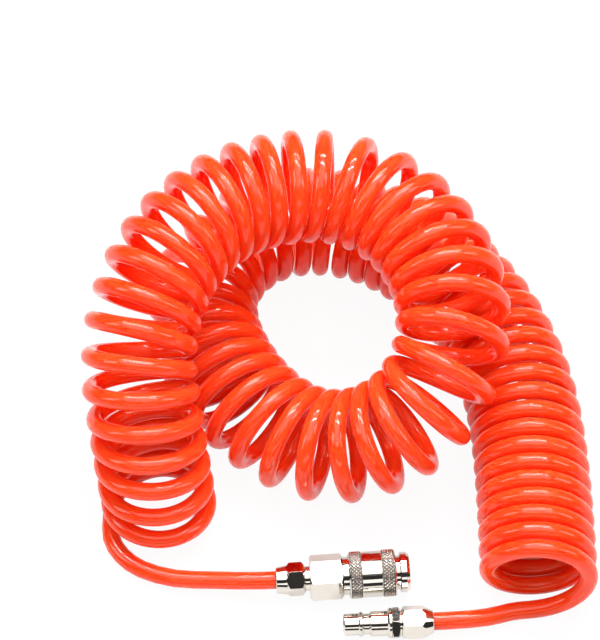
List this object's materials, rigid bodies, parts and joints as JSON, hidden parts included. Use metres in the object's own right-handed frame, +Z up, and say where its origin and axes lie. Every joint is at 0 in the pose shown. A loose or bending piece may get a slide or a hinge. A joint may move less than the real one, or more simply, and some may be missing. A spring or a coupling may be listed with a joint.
{
  "type": "coiled air hose",
  "caption": "Coiled polyurethane air hose in a doubled ring, with a quick coupler socket on one tail and the matching plug on the other.",
  "frame": {"origin": "on the floor under the middle of the whole hose's box", "axes": "+Z up, +X to the right and +Y away as seen from the picture's side"},
  "size_m": [0.2276, 0.2366, 0.1141],
  "materials": {
    "hose": "glossy, slightly translucent polyurethane",
    "plated": "bright nickel plate on turned steel",
    "steel": "plain steel",
    "brass": "turned brass",
    "seal": "black nitrile rubber"
  },
  "bodies": {
    "hose": {"coil_left_column": "hose", "coil_upper_left": "hose", "coil_upper_right": "hose", "coil_front_arc": "hose", "coil_lower_left": "hose", "coil_lower_back": "hose", "coil_lower_right": "hose", "coil_right_column": "hose", "hose_tail_socket_side": "hose", "hose_tail_plug_side": "hose", "socket_tube_nut": "plated", "socket_gripping_ring": "brass", "socket_adapter": "plated", "socket_gasket": "seal", "socket_body": "plated", "nose_seal": "seal", "sleeve_spring": "steel", "valve_spring": "steel", "plug_body": "plated", "plug_tube_nut": "plated", "plug_gripping_ring": "brass"},
    "sleeve": {"socket_sleeve": "plated"},
    "valve": {"valve_poppet": "brass", "valve_seal": "seal"},
    "ball_1": {"locking_ball_1": "steel"},
    "ball_2": {"locking_ball_2": "steel"},
    "ball_3": {"locking_ball_3": "steel"},
    "ball_4": {"locking_ball_4": "steel"}
  },
  "joints": [
    {"name": "sleeve_slide", "type": "slide", "parent": "hose", "child": "sleeve", "axis": [-0.9972, -0.075, 0], "range_m": [0, 0.0024], "stiffness_N_per_m": 1500, "springref_m": -0.003, "deforming": ["sleeve_spring"]},
    {"name": "valve_slide", "type": "slide", "parent": "hose", "child": "valve", "axis": [-0.9972, -0.075, 0], "range_m": [0, 0.0026], "stiffness_N_per_m": 800, "springref_m": -0.003, "deforming": ["valve_spring"]},
    {"name": "ball_1_slide", "type": "slide", "parent": "hose", "child": "ball_1", "axis": [0.053, -0.7051, 0.7071], "range_m": [0, 0.00096]},
    {"name": "ball_2_slide", "type": "slide", "parent": "hose", "child": "ball_2", "axis": [0.053, -0.7051, -0.7071], "range_m": [0, 0.00096]},
    {"name": "ball_3_slide", "type": "slide", "parent": "hose", "child": "ball_3", "axis": [-0.053, 0.7051, -0.7071], "range_m": [0, 0.00096]},
    {"name": "ball_4_slide", "type": "slide", "parent": "hose", "child": "ball_4", "axis": [-0.053, 0.7051, 0.7071], "range_m": [0, 0.00096]}
  ],
  "couplings": [
    {"joint": "ball_1_slide", "follows": "sleeve_slide", "ratio": 0.4},
    {"joint": "ball_2_slide", "follows": "sleeve_slide", "ratio": 0.4},
    {"joint": "ball_3_slide", "follows": "sleeve_slide", "ratio": 0.4},
    {"joint": "ball_4_slide", "follows": "sleeve_slide", "ratio": 0.4}
  ]
}
